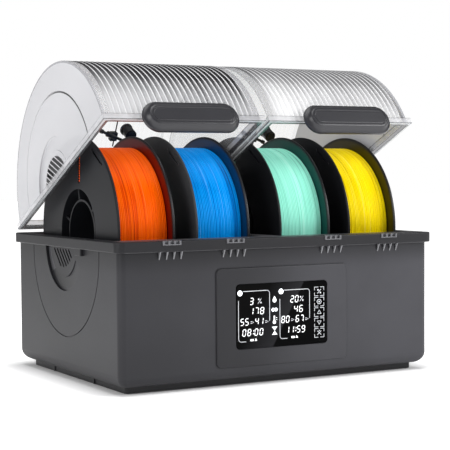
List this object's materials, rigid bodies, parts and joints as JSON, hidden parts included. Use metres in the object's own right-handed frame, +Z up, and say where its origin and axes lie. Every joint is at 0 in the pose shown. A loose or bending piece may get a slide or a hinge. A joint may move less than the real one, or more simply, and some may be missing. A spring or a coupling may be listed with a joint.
{
  "type": "filament dryer box",
  "caption": "Heated dryer tub for filament reels, with a touch display, roller cradles and two clear ribbed barrel lids hinged at the back.",
  "frame": {"origin": "middle of the rim's plan, at the level of the floor the feet stand on", "axes": "+Z up, the control panel faces -Y, +X to the right of someone facing the panel"},
  "size_m": [0.373, 0.2814, 0.3304],
  "materials": {
    "tub_plastic": "satin, fine spark-eroded grain",
    "inner_plastic": "matt",
    "black_plastic": "satin",
    "keeper_grey": "satin",
    "handle_grey": "satin",
    "roller_plastic": "satin",
    "foot_rubber": "matt",
    "seal_rubber": "matt, translucent silicone",
    "steel": "zinc plated",
    "fin_aluminium": "mill finish",
    "circuit_board": "solder mask",
    "display_black": "gloss front glass with lit segments",
    "clear_plastic": "clear, lightly frosted",
    "reel_black": "satin",
    "filament_orange": "satin wound strand",
    "filament_blue": "satin wound strand",
    "filament_mint": "satin wound strand",
    "filament_yellow": "satin wound strand"
  },
  "bodies": {
    "base": {"tub_shell": "tub_plastic", "base_plinth": "black_plastic", "rubber_feet": "foot_rubber", "base_screws": "steel", "control_panel": "tub_plastic", "display_glass": "display_black", "display_board": "circuit_board", "power_supply": "circuit_board", "power_inlet": "black_plastic", "centre_divider": "inner_plastic", "chamber_liner_left": "inner_plastic", "chamber_liner_right": "inner_plastic", "air_duct_left": "inner_plastic", "air_duct_right": "inner_plastic", "heater_left": "fin_aluminium", "heater_right": "fin_aluminium", "fan_frame_left": "black_plastic", "fan_frame_right": "black_plastic", "roller_cradle_left": "black_plastic", "roller_cradle_right": "black_plastic", "roller_axles": "steel", "latch_keepers": "keeper_grey", "hinge_pins": "steel"},
    "left_lid": {"lid_left": "clear_plastic", "lid_seal_left": "seal_rubber", "lid_handle_left": "handle_grey", "handle_screws_left": "steel", "hinge_arms_left": "black_plastic", "vent_plug_left": "black_plastic", "humidity_probe_left": "black_plastic"},
    "right_lid": {"lid_right": "clear_plastic", "lid_seal_right": "seal_rubber", "lid_handle_right": "handle_grey", "handle_screws_right": "steel", "hinge_arms_right": "black_plastic", "vent_plug_right": "black_plastic", "humidity_probe_right": "black_plastic"},
    "reel_1": {"reel_1_near_flange": "reel_black", "reel_1_far_flange": "reel_black", "filament_1": "filament_orange"},
    "reel_2": {"reel_2_near_flange": "reel_black", "reel_2_far_flange": "reel_black", "filament_2": "filament_blue"},
    "reel_3": {"reel_3_near_flange": "reel_black", "reel_3_far_flange": "reel_black", "filament_3": "filament_mint"},
    "reel_4": {"reel_4_near_flange": "reel_black", "reel_4_far_flange": "reel_black", "filament_4": "filament_yellow"},
    "roller_1_front": {"roller_1_front": "roller_plastic"},
    "roller_1_rear": {"roller_1_rear": "roller_plastic"},
    "roller_2_front": {"roller_2_front": "roller_plastic"},
    "roller_2_rear": {"roller_2_rear": "roller_plastic"},
    "roller_3_front": {"roller_3_front": "roller_plastic"},
    "roller_3_rear": {"roller_3_rear": "roller_plastic"},
    "roller_4_front": {"roller_4_front": "roller_plastic"},
    "roller_4_rear": {"roller_4_rear": "roller_plastic"},
    "fan_left": {"fan_rotor_left": "black_plastic"},
    "fan_right": {"fan_rotor_right": "black_plastic"}
  },
  "joints": [
    {"name": "left_lid_hinge", "type": "hinge", "parent": "base", "child": "left_lid", "pos_m": [-0.09295, 0.1378, 0.1452], "axis": [-1, 0, 0], "range_deg": [-25.6, 54.4]},
    {"name": "right_lid_hinge", "type": "hinge", "parent": "base", "child": "right_lid", "pos_m": [0.09295, 0.1378, 0.1452], "axis": [-1, 0, 0], "range_deg": [-25.6, 54.4]},
    {"name": "reel_1_spin", "type": "hinge", "parent": "base", "child": "reel_1", "pos_m": [-0.1353, 0, 0.1529], "axis": [1, 0, 0], "continuous": true},
    {"name": "reel_2_spin", "type": "hinge", "parent": "base", "child": "reel_2", "pos_m": [-0.0493, 0, 0.1529], "axis": [1, 0, 0], "continuous": true},
    {"name": "reel_3_spin", "type": "hinge", "parent": "base", "child": "reel_3", "pos_m": [0.0493, 0, 0.1529], "axis": [1, 0, 0], "continuous": true},
    {"name": "reel_4_spin", "type": "hinge", "parent": "base", "child": "reel_4", "pos_m": [0.1353, 0, 0.1529], "axis": [1, 0, 0], "continuous": true},
    {"name": "roller_1_front_spin", "type": "hinge", "parent": "base", "child": "roller_1_front", "pos_m": [-0.1353, -0.05, 0.05717], "axis": [1, 0, 0], "continuous": true},
    {"name": "roller_1_rear_spin", "type": "hinge", "parent": "base", "child": "roller_1_rear", "pos_m": [-0.1353, 0.05, 0.05717], "axis": [1, 0, 0], "continuous": true},
    {"name": "roller_2_front_spin", "type": "hinge", "parent": "base", "child": "roller_2_front", "pos_m": [-0.0493, -0.05, 0.05717], "axis": [1, 0, 0], "continuous": true},
    {"name": "roller_2_rear_spin", "type": "hinge", "parent": "base", "child": "roller_2_rear", "pos_m": [-0.0493, 0.05, 0.05717], "axis": [1, 0, 0], "continuous": true},
    {"name": "roller_3_front_spin", "type": "hinge", "parent": "base", "child": "roller_3_front", "pos_m": [0.0493, -0.05, 0.05717], "axis": [1, 0, 0], "continuous": true},
    {"name": "roller_3_rear_spin", "type": "hinge", "parent": "base", "child": "roller_3_rear", "pos_m": [0.0493, 0.05, 0.05717], "axis": [1, 0, 0], "continuous": true},
    {"name": "roller_4_front_spin", "type": "hinge", "parent": "base", "child": "roller_4_front", "pos_m": [0.1353, -0.05, 0.05717], "axis": [1, 0, 0], "continuous": true},
    {"name": "roller_4_rear_spin", "type": "hinge", "parent": "base", "child": "roller_4_rear", "pos_m": [0.1353, 0.05, 0.05717], "axis": [1, 0, 0], "continuous": true},
    {"name": "fan_left_spin", "type": "hinge", "parent": "base", "child": "fan_left", "pos_m": [-0.0917, 0, 0.0157], "axis": [0, 0, 1], "continuous": true},
    {"name": "fan_right_spin", "type": "hinge", "parent": "base", "child": "fan_right", "pos_m": [0.0917, 0, 0.0157], "axis": [0, 0, 1], "continuous": true}
  ],
  "couplings": [
    {"joint": "roller_1_front_spin", "follows": "reel_1_spin", "ratio": -12.5},
    {"joint": "roller_1_rear_spin", "follows": "reel_1_spin", "ratio": -12.5},
    {"joint": "roller_2_front_spin", "follows": "reel_2_spin", "ratio": -12.5},
    {"joint": "roller_2_rear_spin", "follows": "reel_2_spin", "ratio": -12.5},
    {"joint": "roller_3_front_spin", "follows": "reel_3_spin", "ratio": -12.5},
    {"joint": "roller_3_rear_spin", "follows": "reel_3_spin", "ratio": -12.5},
    {"joint": "roller_4_front_spin", "follows": "reel_4_spin", "ratio": -12.5},
    {"joint": "roller_4_rear_spin", "follows": "reel_4_spin", "ratio": -12.5}
  ]
}
